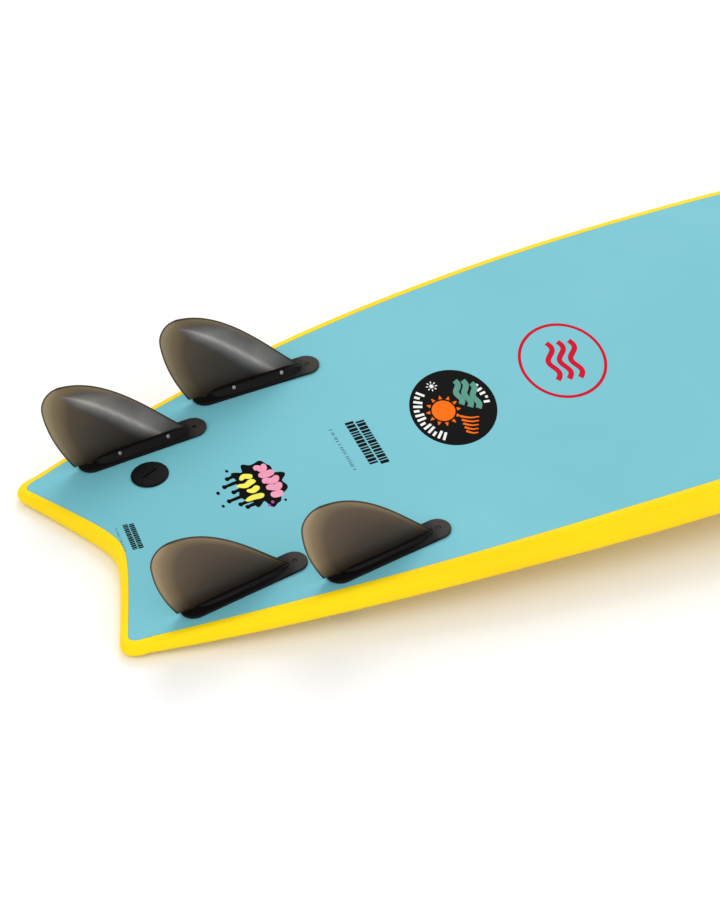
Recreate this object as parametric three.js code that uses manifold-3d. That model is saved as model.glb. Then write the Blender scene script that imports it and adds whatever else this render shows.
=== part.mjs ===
// A soft-top surfboard with a swallow tail and four removable fins, lying on its deck.
// Millimetres. +X runs from tail to nose, +Y to one side and +Z up, out of the blue bottom.
import * as THREE from 'three';
import { mergeVertices } from 'three/addons/utils/BufferGeometryUtils.js';
import Module from 'manifold-3d';

const wasm = await Module();
wasm.setup();

// ---- driving dimensions of the board ----
const LENGTH = 1982.5; // the nose's station; with the rounded tips the board is 6 ft 6 in long
const WIDE_POINT = 870; // distance of the widest station from the tail tips
const HALF_WIDTH = 278; // at the wide point, rails included
const TAIL_NARROWING = 111; // half-width lost from the wide point to the tail
const TAIL_TAPER_POWER = 2.27;
const NOSE_TAPER_POWER = 2.3;
const NOSE_ROUNDNESS = 0.55;
const NOTCH_DEPTH = 55; // how far the swallow tail is cut in, at its middle
const NOTCH_ROUND = 15; // size of the soft curve at the bottom of the notch
const NOTCH_SLOPE = 0.46;
const TIP_LENGTH = 26; // the tail tips' rounding, along the rail
const TIP_WIDTH = 26; // and across the tail
const FLAT_STATION = 1080; // where the bottom is level
const TAIL_DROP = 81; // rocker: how far the tail's bottom is below the level
const NOSE_DROP = 82.5;
const TAIL_ROCKER_POWER = 2.2;
const NOSE_ROCKER_POWER = 2.4;

// thickness at the centre line and at the rail, at stations from the tail
const CENTRE_THICKNESS = [
  [0, 20], [100, 32], [250, 46], [450, 58], [650, 66], [900, 70],
  [1200, 68], [1500, 57], [1750, 40], [1900, 25], [1983, 16],
];
const RAIL_THICKNESS = [
  [0, 17], [100, 24], [250, 31], [450, 38], [650, 45], [900, 46],
  [1200, 45], [1500, 40], [1750, 31], [1900, 21], [1983, 14],
];

const DOME_POWER = 1.5; // how the deck's dome flattens towards the rails

// ---- layers ----
const GAP = 0.3; // clearance between touching pieces
const CORE_GAP = 0.8; // and between the core and the deck foam, whose facets differ
const RAIL_BULGE_TAIL = 11; // rail foam outside the bottom sheet
const RAIL_BULGE_MIDDLE = 18;
const RAIL_BULGE_NOSE = 14;
const TAIL_EDGE_BULGE = 9.5;
const RIM = 3; // flat foam rim around the bottom sheet
const SHEET = 3; // thickness of the bottom sheet
const DECK_FOAM = 5;
const STRINGER_OFFSET = 50; // from the centre line
const STRINGER_THICKNESS = 3;
const STATIONS = 20;
const STRIPS = 12;
const RAIL_STEPS = 4;
const TAIL_FADE = 180; // the notch's shape dies out of the mesh over this length

// ---- fins ----
const FIN_PLACES = [
  { name: 'rear', station: 157, offset: 147, toe: 3.6 },
  { name: 'front', station: 324, offset: 184, toe: 4.6 },
];
const FIN_SIDES = [
  { name: 'left', side: -1 },
  { name: 'right', side: 1 },
];
const CANT = THREE.MathUtils.degToRad(5); // the blades lean outward
const PLATE = { length: 164, width: 35, height: 3 };
const RIDGE = {
  start: -62, end: 60, height: 8.6, lip: 4.5, inner: 15, innerTop: 8.6, outer: 10.5, outerTop: 7.5,
};
const BLADE = {
  corner: -87, chord: 149, height: 117, rake: 24.5, tipHeight: 90, root: 1, thickness: 6.5,
};
const BLADE_INNER_FACE = -1; // the edge of the blade's inner face, from its middle plane
const INNER_SHARE = 0.3; // of the blade's roundness, the rest is on its outer face
const TAB = { offset: 31, length: 22, inner: -1.8, outer: 2.6, depth: 12 };
const CUP_WALL = 4;
const CUP_DEPTH = 13;
const GRUB = { radius: 2.4, length: 6, hex: 1.2, hexDepth: 3, height: 3.4, face: -3.05 };
const GRUB_TILT = THREE.MathUtils.degToRad(20);
const BOLT = { offset: 67, radius: 2.4, headRadius: 4.4, headHeight: 2.4, recess: 0.8 };
const WASHER = { radius: 11, height: 3, sink: 0.4 };

// ---- leash plug ----
const PLUG = {
  station: 143, offset: 93, discRadius: 23, discHeight: 3, shankRadius: 5, shankLength: 16,
};
const PLUG_SLOT = { length: 22, width: 2.2, depth: 1.6 };
const PLUG_CUP = {
  flange: 20, flangeHeight: 2.2, radius: 14.5, bore: 11, depth: 17, boss: 8.5, bossHeight: 8,
};
const PLUG_BAR = { radius: 2, length: 27, depth: 6 };

// ---- small tools ----
function piecewise(table, s) {
  const last = table.length - 1;
  let k = 0;
  while (k < last - 1 && s > table[k + 1][0]) {
    k += 1;
  }
  const t = THREE.MathUtils.clamp((s - table[k][0]) / (table[k + 1][0] - table[k][0]), 0, 1);
  const slope = (a, b) => (table[b][1] - table[a][1]) / (table[b][0] - table[a][0]);
  const span = table[k + 1][0] - table[k][0];
  const into = span * slope(Math.max(k - 1, 0), k + 1);
  const out = span * slope(k, Math.min(k + 2, last));
  const [p, q] = [table[k][1], table[k + 1][1]];
  return (2 * t ** 3 - 3 * t ** 2 + 1) * p + (t ** 3 - 2 * t ** 2 + t) * into
    + (3 * t ** 2 - 2 * t ** 3) * q + (t ** 3 - t ** 2) * out;
}

function closedMesh(points, faces) {
  const geometry = new THREE.BufferGeometry();
  geometry.setAttribute('position', new THREE.Float32BufferAttribute(points.flat(), 3));
  geometry.setIndex(faces.flat());
  return geometry;
}

function toSolid(geometry, matrix = new THREE.Matrix4()) {
  const bare = geometry.clone().applyMatrix4(matrix);
  bare.deleteAttribute('normal');
  bare.deleteAttribute('uv');
  const merged = mergeVertices(bare, 1e-4);
  const index = merged.index.array;
  const faces = [];
  for (let k = 0; k < index.length; k += 3) {
    const [a, b, c] = [index[k], index[k + 1], index[k + 2]];
    if (a !== b && b !== c && c !== a) faces.push(a, b, c);
  }
  const vertProperties = new Float32Array(merged.attributes.position.array);
  return new wasm.Manifold(new wasm.Mesh({ numProp: 3, vertProperties, triVerts: new Uint32Array(faces) }));
}

function toGeometry(solid) {
  const { vertProperties, triVerts } = solid.getMesh();
  const geometry = new THREE.BufferGeometry();
  geometry.setAttribute('position', new THREE.BufferAttribute(new Float32Array(vertProperties), 3));
  geometry.setIndex(new THREE.BufferAttribute(new Uint32Array(triVerts), 1));
  return geometry;
}

const cutAll = (solid, cutters) => cutters.reduce((left, cutter) => left.subtract(cutter), solid);
const joinAll = (solids) => solids.reduce((whole, solid) => whole.add(solid));
const at = (x, y, z) => new THREE.Matrix4().makeTranslation(x, y, z);

function boxSolid(low, high, matrix) {
  const size = high.map((value, k) => value - low[k]);
  const middle = high.map((value, k) => (value + low[k]) / 2);
  const geometry = new THREE.BoxGeometry(...size).translate(...middle);
  return toSolid(geometry, matrix);
}

function postSolid(radius, low, high, sides, matrix) {
  const geometry = new THREE.CylinderGeometry(radius, radius, high - low, sides);
  geometry.rotateX(Math.PI / 2).translate(0, 0, (low + high) / 2);
  return toSolid(geometry, matrix);
}

function piece(name, geometry, material) {
  const bare = geometry.index ? geometry.toNonIndexed() : geometry;
  bare.computeVertexNormals();
  const mesh = new THREE.Mesh(bare, material);
  mesh.name = name;
  return mesh;
}

const plastic = (color, roughness, metalness = 0) => (
  new THREE.MeshStandardMaterial({ color, roughness, metalness })
);
const looks = {
  sheet: plastic(0x84ced8, 0.35),
  foam: plastic(0xffd90f, 0.7),
  core: plastic(0xf4f4f0, 0.9),
  stringer: plastic(0xc79a62, 0.7),
  base: plastic(0x17161a, 0.5),
  blade: plastic(0x5a4d42, 0.2),
  steel: plastic(0xb9bcc0, 0.25, 1),
};

// ---- the board's shape ----
function halfWidth(s) {
  if (s < WIDE_POINT) {
    return HALF_WIDTH - TAIL_NARROWING * ((WIDE_POINT - s) / WIDE_POINT) ** TAIL_TAPER_POWER;
  }
  const u = Math.min((s - WIDE_POINT) / (LENGTH - WIDE_POINT), 1);
  return HALF_WIDTH * (1 - u ** NOSE_TAPER_POWER) ** NOSE_ROUNDNESS;
}

function bottomHeight(s) {
  if (s < FLAT_STATION) {
    return -TAIL_DROP * ((FLAT_STATION - s) / FLAT_STATION) ** TAIL_ROCKER_POWER;
  }
  return -NOSE_DROP * ((s - FLAT_STATION) / (LENGTH - FLAT_STATION)) ** NOSE_ROCKER_POWER;
}

const bottomPitch = (s) => Math.atan2(bottomHeight(s + 1) - bottomHeight(s - 1), 2);

// v runs from -1 at one rail to 1 at the other
function thickness(s, v) {
  const rail = piecewise(RAIL_THICKNESS, s);
  return rail + (piecewise(CENTRE_THICKNESS, s) - rail) * (1 - Math.min(v * v, 1)) ** DOME_POWER;
}

function railBulge(s) {
  const middle = THREE.MathUtils.lerp(RAIL_BULGE_TAIL, RAIL_BULGE_MIDDLE, Math.min(s / 600, 1));
  const noseward = THREE.MathUtils.clamp((s - 1500) / (LENGTH - 1500), 0, 1);
  return middle - (RAIL_BULGE_MIDDLE - RAIL_BULGE_NOSE) * noseward;
}

// one rail in plan, moved inward by the inset, from the tail tip to the nose
function railLine(inset) {
  const line = [];
  for (let i = 0; i < STATIONS; i += 1) {
    const t = i / STATIONS;
    const s = TIP_LENGTH + (LENGTH - TIP_LENGTH) * (0.5 - 0.5 * Math.cos(Math.PI * t));
    const slope = halfWidth(s + 0.5) - halfWidth(s - 0.5);
    const shift = inset(s) / Math.hypot(1, slope);
    line.push([s + slope * shift, halfWidth(s) - shift, s]);
  }
  line.push([LENGTH - inset(LENGTH), 0, LENGTH]);
  return line;
}

const notchLine = (y) => NOTCH_DEPTH + NOTCH_ROUND - Math.hypot(NOTCH_ROUND, NOTCH_SLOPE * y);

// plan grid of the board, moved inward from its outline: [x, y, v] by station and strip
function planGrid(inset, tailInset) {
  const rail = railLine(inset);
  const [tipX, tipY] = rail[0];
  const tipWidth = TIP_WIDTH * Math.max(0.4, 1 - tailInset / 20);
  const edge = (y) => notchLine(y) + tailInset * Math.hypot(1, NOTCH_SLOPE);
  const tailX = (y) => {
    const q = Math.max(0, (Math.abs(y) - tipY + tipWidth) / tipWidth);
    return edge(y) + (tipX - edge(tipY)) * (1 - Math.sqrt(Math.max(0, 1 - q * q)));
  };
  return rail.map(([x, y]) => {
    const fade = Math.max(0, 1 - (x - tipX) / TAIL_FADE) ** 1.5;
    const row = [];
    for (let j = 0; j <= STRIPS; j += 1) {
      const v = Math.sin(Math.PI * (j / STRIPS - 0.5));
      row.push([x + (tailX(v * tipY) - tipX) * fade, v * y, v]);
    }
    return row;
  });
}

const lift = (grid, height) => grid.map((row) => row.map(([x, y, v]) => [x, y, height(x, v)]));

// the grid's edge, seen from above anticlockwise: nose, one rail, tail, other rail
function edgeOf(grid) {
  const last = grid.length - 1;
  const loop = [];
  for (let i = last; i > 0; i -= 1) loop.push(grid[i][STRIPS]);
  for (let j = STRIPS; j > 0; j -= 1) loop.push(grid[0][j]);
  for (let i = 0; i < last; i += 1) loop.push(grid[i][0]);
  return loop;
}

class Shell {
  points = [];

  faces = [];

  quad(a, b, c, d) {
    const first = this.points.length;
    this.points.push(a, b, c, d);
    this.faces.push([first, first + 1, first + 2], [first, first + 2, first + 3]);
  }

  // a grid of points, facing up or down
  cover(grid, up) {
    for (let i = 0; i + 1 < grid.length; i += 1) {
      for (let j = 0; j + 1 < grid[i].length; j += 1) {
        const corners = [grid[i][j], grid[i + 1][j], grid[i + 1][j + 1], grid[i][j + 1]];
        this.quad(...(up ? corners : corners.reverse()));
      }
    }
  }

  // the wall between two closed loops, facing out when the first is the upper one
  wall(upper, lower) {
    upper.forEach((point, k) => {
      const next = (k + 1) % upper.length;
      this.quad(point, lower[k], lower[next], upper[next]);
    });
  }

  // six times the volume, negative when the faces point in
  signedVolume() {
    const corner = (n) => new THREE.Vector3(...this.points[n]);
    return this.faces.reduce((sum, [a, b, c]) => sum + corner(a).dot(corner(b).cross(corner(c))), 0);
  }

  solid() {
    const inward = this.signedVolume() < 0;
    const faces = inward ? this.faces.map((face) => [...face].reverse()) : this.faces;
    return toSolid(closedMesh(this.points, faces));
  }
}

function slab(grid, topHeight, bottomSurface) {
  const shell = new Shell();
  const top = lift(grid, topHeight);
  const low = lift(grid, bottomSurface);
  shell.cover(top, true);
  shell.cover(low, false);
  shell.wall(edgeOf(top), edgeOf(low));
  return shell.solid();
}

const sheetTop = (s) => bottomHeight(s);
const deckSurface = (s, v) => bottomHeight(s) - thickness(s, v);

function deckSkin() {
  const outline = planGrid(() => 0, 0);
  const rim = planGrid((s) => railBulge(s) - RIM, TAIL_EDGE_BULGE - RIM);
  const well = planGrid(railBulge, TAIL_EDGE_BULGE);
  const outer = edgeOf(outline);
  const shell = new Shell();
  // the rail: half an ellipse from the rim round to the deck
  const rail = [];
  for (let k = 0; k <= RAIL_STEPS; k += 1) {
    const angle = (Math.PI * k) / RAIL_STEPS;
    rail.push(edgeOf(rim).map(([x, y, v], n) => [
      x + (outer[n][0] - x) * Math.sin(angle),
      y + (outer[n][1] - y) * Math.sin(angle),
      sheetTop(x) - (thickness(x, v) * (1 - Math.cos(angle))) / 2,
    ]));
  }
  for (let k = 0; k < RAIL_STEPS; k += 1) shell.wall(rail[k], rail[k + 1]);
  shell.cover(lift(rim, deckSurface), false);
  const wellTop = edgeOf(lift(well, sheetTop));
  const wellFloor = lift(well, (s, v) => deckSurface(s, v) + DECK_FOAM);
  shell.wall(wellTop, rail[0]);
  shell.wall(edgeOf(wellFloor), wellTop);
  shell.cover(wellFloor, true);
  return shell.solid();
}

const insetSheet = planGrid((s) => railBulge(s) + GAP, TAIL_EDGE_BULGE + GAP);
const bottomSheet = () => slab(insetSheet, sheetTop, (s) => sheetTop(s) - SHEET);
const coreBlock = () => slab(
  insetSheet,
  (s) => sheetTop(s) - SHEET - GAP,
  (s, v) => deckSurface(s, v) + DECK_FOAM + CORE_GAP,
);

// ---- fins ----
function placeOnBottom(station, offset, toe = 0) {
  const group = new THREE.Group();
  group.position.set(station, offset, bottomHeight(station) + GAP);
  group.rotation.set(0, -bottomPitch(station), toe, 'YZX');
  group.updateMatrix();
  return group;
}

// board thickness under a point of a plate's frame
function depthBelow(group, x, y) {
  const point = new THREE.Vector3(x, y, 0).applyMatrix4(group.matrix);
  const v = point.y / halfWidth(point.x);
  return thickness(point.x, v) * Math.cos(bottomPitch(point.x)) + GAP;
}

function loftSolid(rings) {
  const shell = new Shell();
  const first = rings[0];
  const last = rings[rings.length - 1];
  for (let k = 0; k + 1 < rings.length; k += 1) shell.wall(rings[k + 1], rings[k]);
  for (let n = 1; n + 1 < first.length; n += 1) {
    shell.quad(first[0], first[n + 1], first[n], first[n]);
    shell.quad(last[0], last[n], last[n + 1], last[n + 1]);
  }
  return shell.solid();
}

// the ridge that grips the blade: high on the inner side, a low lip on the outer side
function ridgeSolid(side) {
  const middle = (RIDGE.start + RIDGE.end) / 2;
  const half = (RIDGE.end - RIDGE.start) / 2;
  const rings = [];
  const steps = 8;
  for (let k = 0; k <= steps; k += 1) {
    const u = -Math.cos((Math.PI * k) / steps);
    const grow = Math.max(0.25, (1 - Math.abs(u) ** 5) ** 0.5);
    const x = middle + half * u;
    const z = PLATE.height - 0.5;
    const ring = [
      [x, -side * RIDGE.inner * grow, z],
      [x, -side * RIDGE.innerTop * grow, z + RIDGE.height * grow],
      [x, side * 1 * grow, z + RIDGE.height * grow],
      [x, side * 2 * grow, z + RIDGE.lip * grow],
      [x, side * RIDGE.outerTop * grow, z + RIDGE.lip * grow],
      [x, side * RIDGE.outer * grow, z],
    ];
    rings.push(ring);
  }
  return loftSolid(rings);
}

function stadium(length, width) {
  const straight = length / 2 - width / 2;
  const shape = new THREE.Shape();
  shape.absarc(straight, 0, width / 2, -Math.PI / 2, Math.PI / 2);
  shape.absarc(-straight, 0, width / 2, Math.PI / 2, (3 * Math.PI) / 2);
  return shape;
}

const leadingEdge = (h) => BLADE.chord * (1 - (h / BLADE.height) ** 0.81) ** 0.524;

function trailingEdge(h) {
  if (h < BLADE.tipHeight) return -BLADE.rake * (1 - (1 - h / BLADE.tipHeight) ** 1.88);
  const up = (h - BLADE.tipHeight) / (BLADE.height - BLADE.tipHeight);
  return -BLADE.rake * Math.sqrt(Math.max(0, 1 - up * up));
}

// one section of the blade: a nearly flat inner face and a rounder outer one, grown by a clearance
function foilRing(front, rear, thick, z, side, grow = 0) {
  const steps = 6;
  const outer = [];
  const inner = [];
  for (let k = 0; k <= steps; k += 1) {
    const c = (1 - Math.cos((Math.PI * k) / steps)) / 2;
    const x = front + grow + (rear - front - 2 * grow) * c;
    const bulge = (thick - 0.8) * Math.sin(Math.PI * c ** 0.7) ** 0.8;
    outer.push([x, side * (BLADE_INNER_FACE + 0.8 + (1 - INNER_SHARE) * bulge + grow), z]);
    inner.push([x, side * (BLADE_INNER_FACE - INNER_SHARE * bulge - grow), z]);
  }
  return outer.concat(inner.reverse());
}

// frame of the blade inside a plate's frame: its rear corner, leaning outward
function bladeMatrix(side) {
  return new THREE.Matrix4().makeRotationX(-side * CANT).premultiply(at(BLADE.corner, 0, PLATE.height));
}

const tabCentres = [-TAB.offset, TAB.offset].map((x) => x - BLADE.corner);

function tabSolid(centre, side, grow, low, high) {
  const ys = [side * (TAB.inner - grow), side * (TAB.outer + grow)].sort((a, b) => a - b);
  return boxSolid(
    [centre - TAB.length / 2 - grow, ys[0], low],
    [centre + TAB.length / 2 + grow, ys[1], high],
  );
}

function bladeSolid(side) {
  const rows = 10;
  const rings = [];
  for (let k = 0; k <= rows; k += 1) {
    const t = k / rows;
    const h = BLADE.root + (BLADE.height - 0.4 - BLADE.root) * (1 - (1 - t) ** 1.7);
    const thick = BLADE.thickness * (1 - 0.7 * (h / BLADE.height) ** 1.5);
    rings.push(foilRing(leadingEdge(h), trailingEdge(h), thick, h, side));
  }
  const tabs = tabCentres.map((centre) => tabSolid(centre, side, 0, -TAB.depth, BLADE.root + 2));
  return joinAll([loftSolid(rings), ...tabs]);
}

// a grub screw's frame: its axis leaves the ridge's inner face, tilted up
function grubMatrix(x, side) {
  const matrix = new THREE.Matrix4().makeRotationX(side * (Math.PI / 2 - GRUB_TILT));
  return matrix.premultiply(at(x, side * GRUB.face, PLATE.height + GRUB.height));
}

function grubSolid() {
  const body = postSolid(GRUB.radius, 0.9, 0.9 + GRUB.length, 10);
  const top = 0.9 + GRUB.length;
  return body.subtract(postSolid(GRUB.hex, top - GRUB.hexDepth, top + 1, 6));
}

function finBaseSolid(side) {
  const plate = new THREE.ExtrudeGeometry(stadium(PLATE.length, PLATE.width), {
    depth: PLATE.height, bevelEnabled: false, curveSegments: 8,
  });
  const cups = [-TAB.offset, TAB.offset].map((x) => boxSolid(
    [x - TAB.length / 2 - CUP_WALL, -8, -CUP_DEPTH],
    [x + TAB.length / 2 + CUP_WALL, 8, 1],
  ));
  const whole = joinAll([toSolid(plate), ridgeSolid(side), ...cups]);
  const blade = bladeMatrix(side);
  const slot = loftSolid([
    foilRing(leadingEdge(BLADE.root), -14, BLADE.thickness, BLADE.root - GAP, side, 0.4),
    foilRing(leadingEdge(BLADE.root), -14, BLADE.thickness, 40, side, 0.4),
  ]).transform(blade.elements);
  const pockets = tabCentres.map((centre) => (
    tabSolid(centre, side, GAP, -TAB.depth - GAP, 10).transform(blade.elements)
  ));
  const holes = [-BOLT.offset, BOLT.offset].map((x) => (
    postSolid(BOLT.radius + 0.35, -5, PLATE.height + 12, 10, at(x, 0, 0))
  ));
  const screws = [-TAB.offset, TAB.offset].map((x) => (
    postSolid(GRUB.radius + 0.45, 0.2, 30, 10, grubMatrix(x, side))
  ));
  return cutAll(whole, [slot, ...pockets, ...holes, ...screws]);
}

function boltSolid(depth) {
  const low = -depth + WASHER.sink + 0.3;
  return joinAll([
    postSolid(BOLT.radius, low, PLATE.height - BOLT.recess, 8),
    postSolid(BOLT.headRadius, low, low + BOLT.headHeight, 8),
  ]);
}

function washerSolid(depth) {
  const low = -depth + WASHER.sink;
  return cutAll(postSolid(WASHER.radius, low, low + WASHER.height, 12), [
    postSolid(BOLT.radius + 0.4, low - 1, low + 5, 8),
    postSolid(BOLT.headRadius + 0.4, low - 1, low + BOLT.headHeight + 0.5, 8),
  ]);
}

// what the board's layers lose to one fin: two cups, two bolts and two washers
function finCutters(group) {
  const cutters = [-TAB.offset, TAB.offset].map((x) => boxSolid(
    [x - TAB.length / 2 - CUP_WALL - GAP, -8 - GAP, -CUP_DEPTH - GAP],
    [x + TAB.length / 2 + CUP_WALL + GAP, 8 + GAP, 5],
    group.matrix,
  ));
  for (const x of [-BOLT.offset, BOLT.offset]) {
    const low = -depthBelow(group, x, 0);
    const top = low + WASHER.sink + WASHER.height + GAP;
    const place = group.matrix.clone().multiply(at(x, 0, 0));
    cutters.push(postSolid(BOLT.radius + 0.5, low - 5, 5, 8, place));
    cutters.push(postSolid(WASHER.radius + GAP, low - 5, top, 12, place));
  }
  return cutters;
}

function finParts(group, label, side) {
  const parts = [piece(`fin_base_${label}`, toGeometry(finBaseSolid(side)), looks.base)];
  const blade = piece(`fin_blade_${label}`, toGeometry(bladeSolid(side)), looks.blade);
  blade.applyMatrix4(bladeMatrix(side));
  parts.push(blade);
  [['aft', -1], ['fore', 1]].forEach(([end, way]) => {
    const grub = piece(`grub_screw_${label}_${end}`, toGeometry(grubSolid()), looks.steel);
    grub.applyMatrix4(grubMatrix(way * TAB.offset, side));
    const depth = depthBelow(group, way * BOLT.offset, 0);
    const bolt = piece(`through_bolt_${label}_${end}`, toGeometry(boltSolid(depth)), looks.steel);
    const washer = piece(`deck_washer_${label}_${end}`, toGeometry(washerSolid(depth)), looks.base);
    bolt.position.x = way * BOLT.offset;
    washer.position.x = way * BOLT.offset;
    parts.push(grub, bolt, washer);
  });
  return parts;
}

// ---- leash plug ----
const plugGroup = placeOnBottom(PLUG.station, PLUG.offset);
const plugDepth = depthBelow(plugGroup, 0, 0) - 0.6;
const SLOT_TURN = THREE.MathUtils.degToRad(20);

function plugBoltSolid() {
  const edge = PLUG.discRadius;
  const profile = [
    [0, -PLUG.shankLength], [PLUG.shankRadius, -PLUG.shankLength], [PLUG.shankRadius, 0],
    [edge, 0], [edge, 1.4], [edge - 3, PLUG.discHeight], [0, PLUG.discHeight],
  ];
  const points = profile.map(([r, z]) => new THREE.Vector2(r, z));
  const body = new THREE.LatheGeometry(points, 24).rotateX(Math.PI / 2);
  const [l, w] = [PLUG_SLOT.length / 2, PLUG_SLOT.width / 2];
  const slot = boxSolid(
    [-l, -w, PLUG.discHeight - PLUG_SLOT.depth],
    [l, w, PLUG.discHeight + 1],
    new THREE.Matrix4().makeRotationZ(SLOT_TURN),
  );
  return toSolid(body).subtract(slot);
}

function plugCupSolid() {
  const { flange, flangeHeight, radius, bore, depth, boss, bossHeight } = PLUG_CUP;
  const low = -plugDepth;
  const floor = low + depth;
  const top = floor + 2 + bossHeight;
  const tapped = PLUG.shankRadius + 0.35;
  const profile = [
    [bore, low], [flange, low], [flange, low + flangeHeight], [radius, low + flangeHeight],
    [radius, floor + 2], [boss, floor + 2], [boss, top], [tapped, top],
    [tapped, floor], [bore, floor], [bore, low],
  ];
  const points = profile.map(([r, z]) => new THREE.Vector2(r, z));
  const body = new THREE.LatheGeometry(points, 16).rotateX(Math.PI / 2);
  return toSolid(body).subtract(barSolid(PLUG_BAR.radius + 0.35, PLUG_BAR.length + 0.7));
}

function barSolid(radius, length) {
  const turn = new THREE.Matrix4().makeRotationX(Math.PI / 2);
  turn.premultiply(at(0, 0, -plugDepth + PLUG_BAR.depth));
  return postSolid(radius, -length / 2, length / 2, 8, turn);
}

function plugCutters() {
  const low = -plugDepth;
  const posts = [
    [PLUG.shankRadius + 0.6, low, 5],
    [PLUG_CUP.boss + GAP, low, low + PLUG_CUP.depth + 2 + PLUG_CUP.bossHeight + GAP],
    [PLUG_CUP.radius + GAP, low - 5, low + PLUG_CUP.depth + 2 + GAP],
    [PLUG_CUP.flange + GAP, low - 5, low + PLUG_CUP.flangeHeight + GAP],
  ];
  return posts.map(([radius, from, to]) => postSolid(radius, from, to, 16, plugGroup.matrix));
}

// ---- assembly ----
const board = new THREE.Group();
const fins = [];
for (const place of FIN_PLACES) {
  for (const { name, side } of FIN_SIDES) {
    const toe = THREE.MathUtils.degToRad(place.toe) * -side;
    const group = placeOnBottom(place.station, side * place.offset, toe);
    group.add(...finParts(group, `${place.name}_${name}`, side));
    fins.push(group);
  }
}
const cutters = joinAll(fins.flatMap(finCutters).concat(plugCutters()));

board.add(piece('deck_skin', toGeometry(deckSkin().subtract(cutters)), looks.foam));
board.add(piece('bottom_skin', toGeometry(bottomSheet().subtract(cutters)), looks.sheet));

const core = coreBlock().subtract(cutters);
const strip = (low, high) => core.intersect(boxSolid([-50, low, -300], [LENGTH + 50, high, 300]));
const stringerEdge = STRINGER_THICKNESS / 2;
const coreEdge = stringerEdge + GAP;
const coreInner = STRINGER_OFFSET - coreEdge;
const coreOuter = STRINGER_OFFSET + coreEdge;
board.add(
  piece('core_left', toGeometry(strip(-400, -coreOuter)), looks.core),
  piece('core_centre', toGeometry(strip(-coreInner, coreInner)), looks.core),
  piece('core_right', toGeometry(strip(coreOuter, 400)), looks.core),
);
for (const { name, side } of FIN_SIDES) {
  const middle = side * STRINGER_OFFSET;
  const blank = strip(middle - stringerEdge, middle + stringerEdge);
  board.add(piece(`stringer_${name}`, toGeometry(blank), looks.stringer));
}

plugGroup.add(
  piece('leash_plug_bolt', toGeometry(plugBoltSolid()), looks.base),
  piece('leash_plug_cup', toGeometry(plugCupSolid()), looks.base),
  piece('leash_plug_bar', toGeometry(barSolid(PLUG_BAR.radius, PLUG_BAR.length)), looks.steel),
);
board.add(...fins, plugGroup);

// the origin is under the middle of the board, on the surface that it lies on
const box = new THREE.Box3().setFromObject(board, true);
board.position.set(-(box.min.x + box.max.x) / 2, 0, -box.min.z);

export default board;
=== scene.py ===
"""The looks of the soft-top surfboard: it lies on its deck, fins up, on a pale floor.

Board coordinates are millimetres: s from the tail to the nose, y to the far rail and z up,
with z = 0 where the bottom is level. place() turns them into the row frame in metres.
"""
import math
import random

import bmesh
import bpy
from mathutils import Matrix, Vector


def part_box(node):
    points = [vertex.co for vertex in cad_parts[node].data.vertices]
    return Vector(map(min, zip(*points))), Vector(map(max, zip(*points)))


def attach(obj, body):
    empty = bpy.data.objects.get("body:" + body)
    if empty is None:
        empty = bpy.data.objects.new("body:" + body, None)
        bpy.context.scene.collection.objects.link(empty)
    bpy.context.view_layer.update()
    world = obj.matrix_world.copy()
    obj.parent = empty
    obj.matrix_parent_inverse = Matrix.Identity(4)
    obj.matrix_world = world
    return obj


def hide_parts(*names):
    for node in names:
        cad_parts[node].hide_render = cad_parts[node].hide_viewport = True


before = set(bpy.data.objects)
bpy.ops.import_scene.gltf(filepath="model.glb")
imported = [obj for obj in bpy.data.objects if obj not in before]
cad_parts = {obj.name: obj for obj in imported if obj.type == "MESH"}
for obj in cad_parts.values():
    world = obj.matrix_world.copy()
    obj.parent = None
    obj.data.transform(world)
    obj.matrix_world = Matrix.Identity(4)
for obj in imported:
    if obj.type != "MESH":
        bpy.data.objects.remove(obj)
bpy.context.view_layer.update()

MM = 0.001
chance = random.Random(7)

# ---- driving dimensions ----
LENGTH = 1982.5
WIDE_POINT, HALF_WIDTH = 870, 278
TAIL_NARROWING, TAIL_TAPER_POWER = 111, 2.27
NOSE_TAPER_POWER, NOSE_ROUNDNESS = 2.3, 0.55
NOTCH_DEPTH, NOTCH_ROUND, NOTCH_SLOPE = 55, 15, 0.46
TIP_LENGTH, TIP_WIDTH = 26, 26
TAIL_FADE = 180  # the notch's shape dies out of the mesh over this length
FLAT_STATION = 1080  # where the bottom is level
TAIL_DROP, TAIL_ROCKER_POWER = 81, 2.2
NOSE_DROP, NOSE_ROCKER_POWER = 82.5, 2.4

# thickness at the centre line and at the rail, at stations from the tail
CENTRE_THICKNESS = [
    (0, 20), (100, 32), (250, 46), (450, 58), (650, 66), (900, 70),
    (1200, 68), (1500, 57), (1750, 40), (1900, 25), (1983, 16),
]
RAIL_THICKNESS = [
    (0, 17), (100, 24), (250, 31), (450, 38), (650, 45), (900, 46),
    (1200, 45), (1500, 40), (1750, 31), (1900, 21), (1983, 14),
]
DOME_POWER = 1.5  # how the deck's dome flattens towards the rails

GAP = 0.3  # clearance between touching pieces
SHEET, DECK_FOAM = 3, 5
RIM = 3  # flat foam rim around the sheet
RAIL_BULGE_TAIL, RAIL_BULGE_MIDDLE, RAIL_BULGE_NOSE = 11, 18, 14
BULGE_FULL, BULGE_SHRINKS = 600, 1500  # the stations between which the rail foam is widest
TAIL_EDGE_BULGE = 9.5
STATIONS, STRIPS, RAIL_STEPS = 150, 48, 16

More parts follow.
